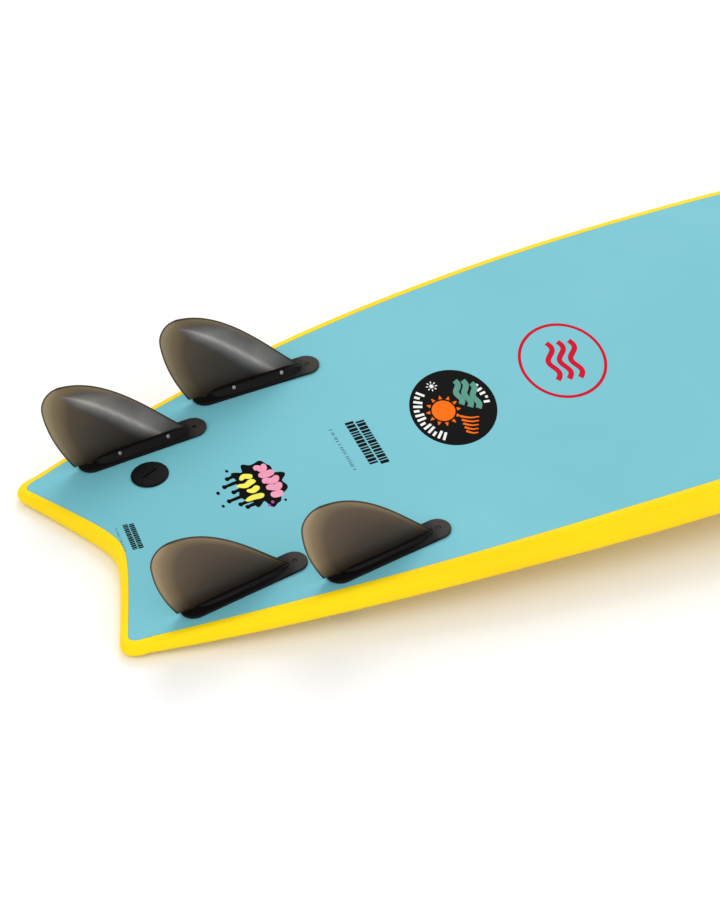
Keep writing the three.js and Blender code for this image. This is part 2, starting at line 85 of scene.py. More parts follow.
FIN_PLACES = {"rear": (157, 147, 3.6), "front": (324, 184, 4.6)}
FIN_SIDES = {"left": -1, "right": 1}
CANT = math.radians(5)
PLATE_LENGTH, PLATE_WIDTH, PLATE_HEIGHT = 164, 35, 3
PLATE_BEVEL, PLATE_ROUND = 0.4, 1.2
RIDGE_START, RIDGE_END, RIDGE_HEIGHT, LIP_HEIGHT = -62, 60, 8.6, 4.5
RIDGE_INNER, RIDGE_INNER_TOP, RIDGE_OUTER, RIDGE_OUTER_TOP = 15, 8.6, 10.5, 7.5
BLADE_CORNER, BLADE_CHORD, BLADE_HEIGHT = -87, 149, 117
BLADE_RAKE, BLADE_TIP, BLADE_ROOT, BLADE_THICKNESS = 24.5, 90, 1, 6.5
LEADING_POWER, LEADING_ROUNDNESS, TRAILING_POWER = 0.81, 0.524, 1.88
BLADE_EDGE = 0.8  # the thickness left at the blade's edges
FOIL_SKEW, FOIL_FULLNESS = 0.7, 0.8  # the thickest place is ahead of the middle
TIP_THINNING, THINNING_POWER = 0.7, 1.5
INNER_FACE = -1
INNER_SHARE = 0.3  # of the blade's roundness, the rest is on its outer face
SLOT_REAR, SLOT_TOP, SLOT_GAP = -14, 40, 0.4  # of the base's slot for the blade
TAB_OFFSET, TAB_LENGTH, TAB_INNER, TAB_OUTER, TAB_DEPTH = 31, 22, -1.8, 2.6, 12
TAB_CENTRES = [-TAB_OFFSET - BLADE_CORNER, TAB_OFFSET - BLADE_CORNER]
CUP_WALL, CUP_DEPTH, CUP_HALF_WIDTH = 4, 13, 8
GRUB_RADIUS, GRUB_LENGTH, GRUB_TILT = 2.4, 6, math.radians(20)
GRUB_START, GRUB_FACE, GRUB_RISE = 0.9, -3.05, 3.4
THREAD_DEPTH, THREAD_STEP = 0.22, 0.45
HEX_RADIUS, HEX_DEPTH = 1.4, 3
BOLT_OFFSET, BOLT_RADIUS, BOLT_RECESS = 67, 2.4, 0.8
HEAD_RADIUS, HEAD_HEIGHT = 4.4, 2.4
CROSS_LENGTH, CROSS_WIDTH, CROSS_DEPTH = 4.8, 0.8, 1.2  # the slots in the bolt's head
WASHER_RADIUS, WASHER_HEIGHT, WASHER_SINK = 11, 3, 0.4
WASHER_BORE, WELL_RADIUS, WELL_DEPTH = 2.8, 4.8, 2.9  # the bolt's head sits in the well

PLUG_STATION, PLUG_OFFSET, PLUG_RADIUS, PLUG_HEIGHT = 143, 93, 23, 3
PLUG_EDGE, PLUG_BEVEL = 1.4, 3
SHANK_RADIUS, SHANK_LENGTH = 5, 16
COIN_LENGTH, COIN_WIDTH, COIN_DEPTH, COIN_TURN = 22, 2.2, 1.6, math.radians(20)
FLANGE_RADIUS, FLANGE_HEIGHT = 20, 2.2
LEASH_RADIUS, LEASH_BORE, BOSS_RADIUS, BOSS_BORE = 14.5, 11, 8.5, 5.35
LEASH_FLOOR, LEASH_SHOULDER, BOSS_TOP = 17, 19, 27  # heights above the leash cup's mouth
BAR_RADIUS, BAR_HALF_LENGTH, BAR_DEPTH, BAR_GAP = 2, 13.5, 6, 0.35

# the cutters of the sheet start and end here, below and above a plate's foot
CUT_LOW, CUT_HIGH = -30, 5

SHIFT_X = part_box("deck_skin")[1].x / MM - LENGTH
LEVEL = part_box("bottom_skin")[1].z / MM + 0.2

# ---- camera ----
YAW, PITCH, ROLL = math.radians(63.62), math.radians(37.12), math.radians(0.88)
CAMERA_PLACE = Vector((SHIFT_X - 1334.6, -3448.8, LEVEL + 2881.6)) * MM
LENS_LENGTH, SENSOR_WIDTH, FARTHEST = 162.03, 36, 60


def camera_matrix():
    forward = Vector((
        math.cos(PITCH) * math.cos(YAW), math.cos(PITCH) * math.sin(YAW), -math.sin(PITCH),
    ))
    level = Vector((math.sin(YAW), -math.cos(YAW), 0))
    upright = level.cross(forward)
    right = level * math.cos(ROLL) + upright * math.sin(ROLL)
    up = upright * math.cos(ROLL) - level * math.sin(ROLL)
    turn = Matrix((right, up, -forward)).transposed().to_4x4()
    return Matrix.Translation(CAMERA_PLACE) @ turn


lens = bpy.data.cameras.new("camera")
lens.lens = LENS_LENGTH
lens.sensor_width = SENSOR_WIDTH
lens.clip_end = FARTHEST
camera = bpy.data.objects.new("camera", lens)
camera.matrix_world = camera_matrix()
bpy.context.collection.objects.link(camera)
bpy.context.scene.camera = camera


# ---- the board's shape ----
def piecewise(table, s):
    k = 0
    while k < len(table) - 2 and s > table[k + 1][0]:
        k += 1
    (s0, p), (s1, q) = table[k], table[k + 1]
    span = s1 - s0
    t = min(max((s - s0) / span, 0), 1)
    before, after = table[max(k - 1, 0)], table[min(k + 2, len(table) - 1)]
    into = span * (q - before[1]) / (s1 - before[0])
    out = span * (after[1] - p) / (after[0] - s0)
    return (
        (2 * t**3 - 3 * t**2 + 1) * p + (t**3 - 2 * t**2 + t) * into
        + (3 * t**2 - 2 * t**3) * q + (t**3 - t**2) * out
    )


def half_width(s):
    if s < WIDE_POINT:
        return HALF_WIDTH - TAIL_NARROWING * ((WIDE_POINT - s) / WIDE_POINT) ** TAIL_TAPER_POWER
    u = min((s - WIDE_POINT) / (LENGTH - WIDE_POINT), 1)
    return HALF_WIDTH * (1 - u**NOSE_TAPER_POWER) ** NOSE_ROUNDNESS


def bottom_height(s):
    if s < FLAT_STATION:
        return -TAIL_DROP * ((FLAT_STATION - s) / FLAT_STATION) ** TAIL_ROCKER_POWER
    return -NOSE_DROP * ((s - FLAT_STATION) / (LENGTH - FLAT_STATION)) ** NOSE_ROCKER_POWER


def bottom_pitch(s):
    return math.atan2(bottom_height(s + 1) - bottom_height(s - 1), 2)


def thickness(s, v):
    """The board's thickness, v running from -1 at one rail to 1 at the other."""
    rail = piecewise(RAIL_THICKNESS, s)
    return rail + (piecewise(CENTRE_THICKNESS, s) - rail) * (1 - min(v * v, 1)) ** DOME_POWER


def rail_bulge(s):
    """How far the rail's foam reaches out past the sheet."""
    swell = (RAIL_BULGE_MIDDLE - RAIL_BULGE_TAIL) * min(s / BULGE_FULL, 1)
    noseward = min(max((s - BULGE_SHRINKS) / (LENGTH - BULGE_SHRINKS), 0), 1)
    return RAIL_BULGE_TAIL + swell - (RAIL_BULGE_MIDDLE - RAIL_BULGE_NOSE) * noseward


def rail_line(inset):
    """One rail in plan, moved inward, from the tail tip to the nose."""
    line = []
    for i in range(STATIONS):
        t = i / STATIONS
        s = TIP_LENGTH + (LENGTH - TIP_LENGTH) * (0.5 - 0.5 * math.cos(math.pi * t))
        slope = half_width(s + 0.5) - half_width(s - 0.5)
        shift = inset(s) / math.hypot(1, slope)
        line.append((s + slope * shift, half_width(s) - shift))
    line.append((LENGTH - inset(LENGTH), 0))
    return line


def notch_line(y):
    return NOTCH_DEPTH + NOTCH_ROUND - math.hypot(NOTCH_ROUND, NOTCH_SLOPE * y)


def plan_grid(inset, tail_inset):
    """Rows of (s, y, v) from the tail to the nose, moved inward from the outline."""
    rail = rail_line(inset)
    tip_x, tip_y = rail[0]
    tip_width = TIP_WIDTH * max(0.4, 1 - tail_inset / 20)

    def edge(y):
        return notch_line(y) + tail_inset * math.hypot(1, NOTCH_SLOPE)

    def tail_x(y):
        q = max(0, (abs(y) - tip_y + tip_width) / tip_width)
        return edge(y) + (tip_x - edge(tip_y)) * (1 - math.sqrt(max(0, 1 - q * q)))

    grid = []
    for x, y in rail:
        fade = max(0, 1 - (x - tip_x) / TAIL_FADE) ** 1.5
        row = []
        for j in range(STRIPS + 1):
            v = math.sin(math.pi * (j / STRIPS - 0.5))
            row.append((x + (tail_x(v * tip_y) - tip_x) * fade, v * y, v))
        grid.append(row)
    return grid


def place(point):
    s, y, z = point
    return Vector(((s + SHIFT_X) * MM, y * MM, (z + LEVEL) * MM))


def lift(grid, height):
    return [[(x, y, height(x, v)) for x, y, v in row] for row in grid]


def edge_of(grid):
    """The grid's edge, seen from above anticlockwise: nose, one rail, tail, other rail."""
    last = len(grid) - 1
    loop = [grid[i][-1] for i in range(last, 0, -1)]
    loop += [grid[0][j] for j in range(STRIPS, 0, -1)]
    return loop + [grid[i][0] for i in range(last)]


# ---- meshes ----
class Shell:
    """Faces gathered one strip at a time, welded into one closed mesh at the end."""

    def __init__(self):
        self.points = []
        self.faces = []

    def quad(self, *corners):
        first = len(self.points)
        self.points += corners
        self.faces.append(range(first, first + len(corners)))

    def cover(self, grid, up):
        for low, high in zip(grid, grid[1:]):
            for j in range(len(low) - 1):
                corners = (low[j], high[j], high[j + 1], low[j + 1])
                self.quad(*(corners if up else corners[::-1]))

    def wall(self, upper, lower):
        for k in range(len(upper)):
            after = (k + 1) % len(upper)
            self.quad(upper[k], lower[k], lower[after], upper[after])

    def build(self, name, turn=place):
        return build(name, [turn(p) for p in self.points], self.faces)


def build(name, points, faces):
    """A welded, closed mesh object with its faces turned outward."""
    mesh = bpy.data.meshes.new(name)
    mesh.from_pydata(points, [], [tuple(face) for face in faces])
    tidy(mesh)
    obj = bpy.data.objects.new(name, mesh)
    bpy.context.collection.objects.link(obj)
    return obj


def tidy(mesh):
    work = bmesh.new()
    work.from_mesh(mesh)
    bmesh.ops.remove_doubles(work, verts=work.verts, dist=1e-6)
    bmesh.ops.dissolve_degenerate(work, edges=work.edges, dist=1e-7)
    bmesh.ops.recalc_face_normals(work, faces=work.faces)
    work.to_mesh(mesh)
    work.free()


def local(point):
    return Vector(point) * MM


def loft(name, rings, caps=True):
    """A solid through rings of points. Without caps the last ring joins the first."""
    shell = Shell()
    pairs = list(zip(rings, rings[1:]))
    if not caps:
        pairs.append((rings[-1], rings[0]))
    for low, high in pairs:
        shell.wall(high, low)
    if caps:
        shell.quad(*rings[0][::-1])
        shell.quad(*rings[-1])
    return shell.build(name, local)


def softened(points, radius, steps=4, closed=True):
    """The polygon with each corner rounded, or each inner corner of an open line."""
    result = []
    count = len(points)
    for k, corner in enumerate(points):
        if not closed and k in (0, count - 1):
            result.append(corner)
            continue
        here = Vector(corner)
        back = Vector(points[k - 1]) - here
        ahead = Vector(points[(k + 1) % count]) - here
        reach = min(radius, back.length * 0.45, ahead.length * 0.45)
        start = here + back.normalized() * reach
        end = here + ahead.normalized() * reach
        for n in range(steps + 1):
            t = n / steps
            point = start * (1 - t) ** 2 + here * 2 * t * (1 - t) + end * t * t
            result.append(tuple(point))
    return result


def circle(radius, z, sides):
    return [
        (radius * math.cos(2 * math.pi * k / sides), radius * math.sin(2 * math.pi * k / sides), z)
        for k in range(sides)
    ]


def lathe(name, profile, sides=48, soft=0.4, hollow=False):
    """Turns a profile of (radius, height) round the z axis."""
    line = softened(profile, soft, 3, closed=hollow)
    return loft(name, [circle(r, z, sides) for r, z in line], caps=not hollow)


def block(name, low, high):
    corners = [(low[0], low[1]), (high[0], low[1]), (high[0], high[1]), (low[0], high[1])]
    return loft(name, [[(x, y, z) for x, y in corners] for z in (low[2], high[2])])


def boolean(obj, operation, others):
    """Joins or cuts the others with the object one after another, and removes them."""
    for other in others:
        step = obj.modifiers.new("step", "BOOLEAN")
        step.operation = operation
        step.object = other
        step.solver = "EXACT"
    bpy.context.view_layer.update()
    graph = bpy.context.evaluated_depsgraph_get()
    mesh = bpy.data.meshes.new_from_object(obj.evaluated_get(graph))
    obj.modifiers.clear()
    obj.data = mesh
    for other in others:
        bpy.data.objects.remove(other)
    return obj


def merged(objects):
    """One object out of several that don't touch each other."""
    work = bmesh.new()
    for obj in objects:
        copy = obj.data.copy()
        copy.transform(obj.matrix_world)
        work.from_mesh(copy)
        bpy.data.objects.remove(obj)
    mesh = bpy.data.meshes.new("merged")
    work.to_mesh(mesh)
    work.free()
    whole = bpy.data.objects.new("merged", mesh)
    bpy.context.collection.objects.link(whole)
    return whole


def finished(obj, look, slot, body, nodes=(), sharp=35):
    """Shading, material, and the body and nodes that the piece stands for."""
    obj.data.materials.clear()
    obj.data.materials.append(look)
    obj.data.shade_smooth()
    obj.data.set_sharp_from_angle(angle=math.radians(sharp))
    bpy.context.view_layer.update()
    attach(obj, body)
    if nodes:
        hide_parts(*nodes)


# ---- materials ----
def colour(hexadecimal):
    channels = [int(hexadecimal[k:k + 2], 16) / 255 for k in (0, 2, 4)]
    linear = [c / 12.92 if c < 0.04045 else ((c + 0.055) / 1.055) ** 2.4 for c in channels]
    return (*linear, 1)


def grey(value):
    return (value, value, value, 1)


# the sockets of a Mix node that mixes colours
MIX_BASE, MIX_OVER, MIX_RESULT = 6, 7, 2


class Look:
    """A principled material that follows noise, a place on its object or values kept on its mesh."""

    def __init__(self, name, roughness, metallic=0, coat=0, specular=0.5):
        self.material = bpy.data.materials.new(name)
        self.material.use_nodes = True
        self.tree = self.material.node_tree
        self.shader = self.tree.nodes["Principled BSDF"]
        self.shader.inputs["Roughness"].default_value = roughness
        self.shader.inputs["Metallic"].default_value = metallic
        self.shader.inputs["Coat Weight"].default_value = coat
        self.shader.inputs["Coat Roughness"].default_value = 0.12
        self.shader.inputs["Specular IOR Level"].default_value = specular
        self.where = self.tree.nodes.new("ShaderNodeTexCoord")

    def node(self, kind, **values):
        node = self.tree.nodes.new(kind)
        for key, value in values.items():
            node.inputs[key.replace("_", " ")].default_value = value
        return node

    def link(self, source, target):
        self.tree.links.new(source, target)

    def noise(self, scale, detail=2, stretch=(1, 1, 1)):
        noise = self.node("ShaderNodeTexNoise", Scale=scale, Detail=detail)
        mapping = self.node("ShaderNodeMapping", Scale=stretch)
        self.link(self.where.outputs["Object"], mapping.inputs["Vector"])
        self.link(mapping.outputs["Vector"], noise.inputs["Vector"])
        return noise.outputs["Fac"]

    def along(self, axis, low, high):
        """How far a point is along its object's axis, from 0 at low to 1 at high."""
        apart = self.tree.nodes.new("ShaderNodeSeparateXYZ")
        self.link(self.where.outputs["Object"], apart.inputs["Vector"])
        span = self.node("ShaderNodeMapRange", From_Min=low, From_Max=high)
        self.link(apart.outputs[axis], span.inputs["Value"])
        return span.outputs["Result"]

    def stored(self, name):
        """A value kept at each vertex of the mesh."""
        node = self.tree.nodes.new("ShaderNodeAttribute")
        node.attribute_name = name
        return node.outputs["Fac"]

    def blend(self, kind, base, over):
        mix = self.tree.nodes.new("ShaderNodeMix")
        mix.data_type = "RGBA"
        mix.blend_type = kind
        mix.inputs["Factor"].default_value = 1
        self.link(base, mix.inputs[MIX_BASE])
        self.link(over, mix.inputs[MIX_OVER])
        return mix.outputs[MIX_RESULT]

    def ramp(self, source, stops):
        ramp = self.tree.nodes.new("ShaderNodeValToRGB")
        elements = ramp.color_ramp.elements
        while len(elements) < len(stops):
            elements.new(0.5)
        for element, (position, value) in zip(elements, stops):
            element.position = position
            element.color = value
        self.link(source, ramp.inputs["Fac"])
        return ramp.outputs["Color"]

    def paint(self, source, stops):
        self.link(self.ramp(source, stops), self.shader.inputs["Base Color"])
        return self

    def bump(self, source, depth, strength):
        bump = self.node("ShaderNodeBump", Distance=depth, Strength=strength)
        self.link(source, bump.inputs["Height"])
        self.link(bump.outputs["Normal"], self.shader.inputs["Normal"])
        return self

    def roughen(self, source, low, high):
        stops = [(0.3, grey(low)), (0.7, grey(high))]
        self.link(self.ramp(source, stops), self.shader.inputs["Roughness"])
        return self


def sheet_look():
    look = Look("slick sheet", 0.4, specular=0.1)
    look.paint(look.noise(3.5), [(0.35, colour("71BCC8")), (0.65, colour("76C0CC"))])
    look.roughen(look.noise(18, 4), 0.36, 0.46)
    return look.bump(look.noise(900, 2), 0.00004, 0.5).material


def foam_look():
    look = Look("rail and deck foam", 0.55, specular=0.15)
    look.paint(look.noise(5), [(0.35, colour("FFD602")), (0.65, colour("FFDD06"))])
    return look.bump(look.noise(700, 3), 0.00012, 0.6).material


def bead_look():
    look = Look("foam beads", 0.9, specular=0.2)
    cells = look.node("ShaderNodeTexVoronoi", Scale=280)
    look.link(look.where.outputs["Object"], cells.inputs["Vector"])
    look.paint(cells.outputs["Distance"], [(0, colour("F8F8F4")), (0.7, colour("DCDCD4"))])
    return look.bump(cells.outputs["Distance"], 0.0004, 0.6).material


def wood_look():
    look = Look("stringer wood", 0.6, specular=0.3)
    look.paint(
        look.noise(40, 6, (0.15, 1, 6)),
        [(0.3, colour("A9793F")), (0.55, colour("C99D63")), (0.75, colour("DDB982"))],
    )
    return look.bump(look.noise(90, 4, (0.1, 1, 6)), 0.0002, 0.4).material


def plastic_look():
    look = Look("black plastic", 0.5, specular=0.1)
    look.paint(look.noise(45, 3), [(0.35, colour("0B090A")), (0.7, colour("121010"))])
    look.roughen(look.noise(30, 4), 0.42, 0.58)
    return look.bump(look.noise(1500, 2), 0.00003, 0.4).material


def base_look():
    """The fin base's plastic: painted paler at its front end, ahead of the blade, a painted sheen.
    """
    look = Look("fin base plastic", 0.5, specular=0.12)
    # a painted sheen: the base's front end is painted paler than the rest
    front = look.along("X", 0.054, 0.068)
    look.paint(front, [(0, colour("0F0D0C")), (1, colour("332F2B"))])
    look.roughen(look.noise(30, 4), 0.45, 0.6)
    return look.bump(look.noise(1500, 2), 0.00003, 0.4).material


def steel_look():
    look = Look("steel", 0.28, metallic=1)
    look.paint(look.noise(300, 3), [(0.3, colour("A9ABAE")), (0.7, colour("CDCFD2"))])
    return look.roughen(look.noise(500, 2), 0.2, 0.36).material


def dark_steel_look():
    look = Look("blackened steel", 0.45, metallic=0.7)
    look.paint(look.noise(300, 3), [(0.3, colour("0E0D0E")), (0.7, colour("1C1B1D"))])
    return look.roughen(look.noise(500, 2), 0.35, 0.5).material


def blade_look():
    """Smoked plastic: tan where thin, dark where thick, with a painted sheen behind its leading
    edge, painted shade along its rim and towards its root.
    """
    look = Look("smoked fin plastic", 0.32, coat=0.05, specular=0.15)
    depth = look.stored("depth")
    tint = look.ramp(depth, [
        (0.0, colour("A8967A")), (0.08, colour("A28F72")), (0.2, colour("857357")),
        (0.4, colour("5C4D3F")), (0.7, colour("4B4038")), (1.0, colour("413731")),
    ])
    # a painted sheen on the inner face, behind the leading edge, lightens the tint
    painted_sheen = look.ramp(look.stored("painted_sheen"), [(0.0, grey(0)), (1.0, colour("D2C6C0"))])
    uneven = look.ramp(look.noise(11, 2, (1.4, 1, 1)), [(0.3, grey(0.55)), (0.62, grey(1))])
    tint = look.blend("LIGHTEN", tint, look.blend("MULTIPLY", painted_sheen, uneven))
    # painted shade: the blade is darkened near its outline
    rim = look.ramp(look.stored("rim"), [(0.0, grey(0.08)), (0.5, grey(0.25)), (1.0, grey(1))])
    tint = look.blend("MULTIPLY", tint, rim)
    # painted shade: the blade is darkened towards its root, where it meets the base
    root_shade = look.ramp(look.along("Z", 0, 0.06), [
        (0.0, grey(0.16)), (0.12, grey(0.42)), (0.45, grey(0.85)), (1.0, grey(1)),
    ])
    tint = look.blend("MULTIPLY", tint, root_shade)
    look.link(tint, look.shader.inputs["Base Color"])
    clear = look.node("ShaderNodeBsdfTransparent", Color=colour("C8B79C"))
    amount = look.ramp(depth, [(0.0, grey(0.12)), (1.0, grey(0.03))])
    mix = look.tree.nodes.new("ShaderNodeMixShader")
    look.link(amount, mix.inputs["Fac"])
    look.link(look.shader.outputs["BSDF"], mix.inputs[1])
    look.link(clear.outputs["BSDF"], mix.inputs[2])
    look.link(mix.outputs["Shader"], look.tree.nodes["Material Output"].inputs["Surface"])
    return look.material


looks = {
    "bottom_sheet": sheet_look(),
    "deck_foam": foam_look(),
    "core_foam": bead_look(),
    "stringer_wood": wood_look(),
    "black_plastic": plastic_look(),
    "fin_base": base_look(),
    "fin_blade": blade_look(),
    "steel": steel_look(),
    "blackened": dark_steel_look(),
}


# ---- foam and sheet ----
def deck_surface(s, v):
    return bottom_height(s) - thickness(s, v)


def slab(name, grid, top, low):
    shell = Shell()
    upper, lower = lift(grid, top), lift(grid, low)
    shell.cover(upper, True)
    shell.cover(lower, False)
    shell.wall(edge_of(upper), edge_of(lower))
    return shell.build(name)


def deck_foam():
    outline = edge_of(plan_grid(lambda s: 0, 0))
    rim_grid = plan_grid(lambda s: rail_bulge(s) - RIM, TAIL_EDGE_BULGE - RIM)
    well = plan_grid(rail_bulge, TAIL_EDGE_BULGE)
    rim = edge_of(rim_grid)
    shell = Shell()
    rail = []
    for k in range(RAIL_STEPS + 1):
        angle = math.pi * k / RAIL_STEPS
        rail.append([
            (
                x + (ox - x) * math.sin(angle),
                y + (oy - y) * math.sin(angle),
                bottom_height(x) - thickness(x, v) * (1 - math.cos(angle)) / 2,
            )
            for (x, y, v), (ox, oy, _) in zip(rim, outline)
        ])
    for upper, lower in zip(rail, rail[1:]):
        shell.wall(upper, lower)
    shell.cover(lift(rim_grid, deck_surface), False)
    well_top = edge_of(lift(well, lambda s, v: bottom_height(s)))
    floor = lift(well, lambda s, v: deck_surface(s, v) + DECK_FOAM)
    shell.wall(well_top, rail[0])
    shell.wall(edge_of(floor), well_top)
    shell.cover(floor, True)
    return shell.build("deck_foam")


def plate_frame(station, offset, toe=0):
    """A plate's frame on the bottom, in the row frame."""
    here = place((station, offset, bottom_height(station) + GAP))
    lean = Matrix.Rotation(-bottom_pitch(station), 4, "Y")
    return Matrix.Translation(here) @ lean @ Matrix.Rotation(toe, 4, "Z")


def depth_below(matrix, x):
    """The board's thickness under a point of a plate's frame."""
    point = matrix @ Vector((x * MM, 0, 0))
    s, y = point.x / MM - SHIFT_X, point.y / MM
    return thickness(s, y / half_width(s)) * math.cos(bottom_pitch(s)) + GAP


def post(name, radius, low, high, matrix=Matrix()):
    obj = loft(name, [circle(radius, z, 24) for z in (low, high)])
    obj.matrix_world = matrix
    return obj


def shifted(matrix, x):
    return matrix @ Matrix.Translation(Vector((x, 0, 0)) * MM)


fins = {}
for place_name, (station, offset, toe) in FIN_PLACES.items():
    for side_name, side in FIN_SIDES.items():
        turn = math.radians(toe) * -side
        fins[f"{place_name}_{side_name}"] = (plate_frame(station, side * offset, turn), side)
plug = plate_frame(PLUG_STATION, PLUG_OFFSET)
plug_depth = depth_below(plug, 0) - 0.6


def sheet_cutters():
    """What the sheet loses to the fins' cups and bolts and to the plug's shank."""
    cutters = []
    reach, wide = TAB_LENGTH / 2 + CUP_WALL + GAP, CUP_HALF_WIDTH + GAP
    for matrix, _ in fins.values():
        for x in (-TAB_OFFSET, TAB_OFFSET):
            cutter = block("cutter", (x - reach, -wide, CUT_LOW), (x + reach, wide, CUT_HIGH))
            cutter.matrix_world = matrix
            cutters.append(cutter)
        for x in (-BOLT_OFFSET, BOLT_OFFSET):
            cutters.append(post("cutter", BOLT_RADIUS + 0.5, CUT_LOW, CUT_HIGH, shifted(matrix, x)))
    cutters.append(post("cutter", SHANK_RADIUS + 0.6, CUT_LOW, CUT_HIGH, plug))
    return merged(cutters)


def deck_cutters():
    """What the deck foam loses to the washers and bolts and to the leash cup."""
    cutters = []
    for matrix, _ in fins.values():
        for x in (-BOLT_OFFSET, BOLT_OFFSET):
            low = -depth_below(matrix, x)
            top = low + WASHER_SINK + WASHER_HEIGHT + GAP
            seat = post("cutter", WASHER_RADIUS + GAP, low - 5, top, shifted(matrix, x))
            hole = post("cutter", BOLT_RADIUS + 0.5, low - 4, low + 12, shifted(matrix, x))
            cutters.append(boolean(seat, "UNION", [hole]))
    wide, narrow, step = FLANGE_RADIUS + GAP, LEASH_RADIUS + GAP, FLANGE_HEIGHT + GAP
    outline = [(wide, -5), (wide, step), (narrow, step), (narrow, 12)]
    cup = loft("cutter", [circle(r, z - plug_depth, 48) for r, z in outline])
    cup.matrix_world = plug
    cutters.append(cup)
    return merged(cutters)


inset_grid = plan_grid(lambda s: rail_bulge(s) + GAP, TAIL_EDGE_BULGE + GAP)
sheet = slab(
    "bottom_sheet", inset_grid,
    lambda s, v: bottom_height(s), lambda s, v: bottom_height(s) - SHEET,
)
boolean(sheet, "DIFFERENCE", [sheet_cutters()])
finished(sheet, looks["bottom_sheet"], "bottom_sheet", "board", ["bottom_skin"])
foam = boolean(deck_foam(), "DIFFERENCE", [deck_cutters()])
finished(foam, looks["deck_foam"], "deck_foam", "board", ["deck_skin"])

for name, look in [
    ("core_left", "core_foam"), ("core_centre", "core_foam"), ("core_right", "core_foam"),
    ("stringer_left", "stringer_wood"), ("stringer_right", "stringer_wood"),
]:
    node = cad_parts[name]
    node.data.materials.clear()
    node.data.materials.append(looks[look])


# ---- fins ----
def leading_edge(h):
    return BLADE_CHORD * (1 - min(h / BLADE_HEIGHT, 1) ** LEADING_POWER) ** LEADING_ROUNDNESS


def trailing_edge(h):
    if h < BLADE_TIP:
        return -BLADE_RAKE * (1 - (1 - h / BLADE_TIP) ** TRAILING_POWER)
    up = (h - BLADE_TIP) / (BLADE_HEIGHT - BLADE_TIP)
    return -BLADE_RAKE * math.sqrt(max(0, 1 - up * up))


def foil_ring(front, rear, thick, z, side, grow=0, steps=6):
    """A section of the blade, rounder on its outer face."""
    outer, inner = [], []
    for k in range(steps + 1):
        c = (1 - math.cos(math.pi * k / steps)) / 2
        x = front + grow + (rear - front - 2 * grow) * c
        bulge = foil_bulge(c, thick)
        outer.append((x, side * (INNER_FACE + BLADE_EDGE + (1 - INNER_SHARE) * bulge + grow), z))
        inner.append((x, side * (INNER_FACE - INNER_SHARE * bulge - grow), z))
    return outer + inner[::-1]


def foil_bulge(c, thick):
    """The roundness of a section, c running from its leading edge to its trailing one."""
    return (thick - BLADE_EDGE) * max(0, math.sin(math.pi * c**FOIL_SKEW)) ** FOIL_FULLNESS


def blade_frame(side):
    """The blade's frame inside a plate's: its rear corner, leaning outward."""
    move = Matrix.Translation(Vector((BLADE_CORNER, 0, PLATE_HEIGHT)) * MM)
    return move @ Matrix.Rotation(-side * CANT, 4, "X")


def tab(centre, side, grow, low, high):
    ys = sorted([side * (TAB_INNER - grow), side * (TAB_OUTER + grow)])
    reach = TAB_LENGTH / 2 + grow
    return block("tab", (centre - reach, ys[0], low), (centre + reach, ys[1], high))


def blade_thickness(h):
    return BLADE_THICKNESS * (1 - TIP_THINNING * min(h / BLADE_HEIGHT, 1) ** THINNING_POWER)


def blade(name, matrix, side):
    rings = []
    rows, columns = 56, 40
    span = BLADE_HEIGHT - 0.05 - BLADE_ROOT
    for k in range(rows + 1):
        h = BLADE_ROOT + span * (1 - (1 - k / rows) ** 2)
        front, rear = leading_edge(h), trailing_edge(h)
        rings.append(foil_ring(front, rear, blade_thickness(h), h, side, 0, columns))
    obj = loft(f"fin_{name}", rings)
    boolean(obj, "UNION", [tab(c, side, 0, -TAB_DEPTH, BLADE_ROOT + 1) for c in TAB_CENTRES])
    mark_blade(obj, side)
    obj.matrix_world = matrix @ blade_frame(side)
    finished(
        obj, looks["fin_blade"], "fin_blade", f"fin_{name}", [f"fin_blade_{name}"], sharp=50,
    )


RIM_WIDTH = 2.2  # the blade is painted dark this close to its outline, a painted shade along its rim
SHEEN_LEAN, SHEEN_FADE = 0.1, 3.5
# the painted sheen on the inner face: how strong it is at distances behind the leading edge
PAINTED_SHEEN = [(0, 0.3), (14, 0.4), (24, 0.55), (29, 0.92), (34, 0.5), (46, 0.16), (66, 0)]


def blade_outline(steps=240):
    outline = []
    for k in range(steps):
        h = BLADE_HEIGHT * (1 - (1 - k / (steps - 1)) ** 2)
        outline += [(leading_edge(h), h), (trailing_edge(h), h)]
    return outline


def mark_blade(obj, side):
    """Keeps how thick and how near its rim the blade is at each vertex, and how strong the painted
    sheen on its inner face is, for its look.
    """
    outline = blade_outline()
    marks = {"depth": [], "rim": [], "painted_sheen": []}
    for vertex in obj.data.vertices:
        x, y, h = (c / MM for c in vertex.co)
        up = max(h, 0)
        front, rear = leading_edge(up), trailing_edge(up)
        c = min(max((front - x) / max(front - rear, 0.1), 0), 1)
        depth = foil_bulge(c, blade_thickness(up)) / (BLADE_THICKNESS - BLADE_EDGE)
        rim = min(math.hypot(x - px, h - ph) for px, ph in outline)
        # a painted sheen, only on the inner face, strongest a little behind the leading edge
        painted_sheen = piecewise(PAINTED_SHEEN, front - x - SHEEN_LEAN * h)
        painted_sheen *= min(1, (1 - h / BLADE_HEIGHT) * SHEEN_FADE)
        marks["depth"].append(depth)
        marks["rim"].append(min(rim / RIM_WIDTH, 1))
        marks["painted_sheen"].append(painted_sheen if side * y < INNER_FACE + 0.3 else 0)
    for name, values in marks.items():
        obj.data.attributes.new(name, "FLOAT", "POINT").data.foreach_set("value", values)


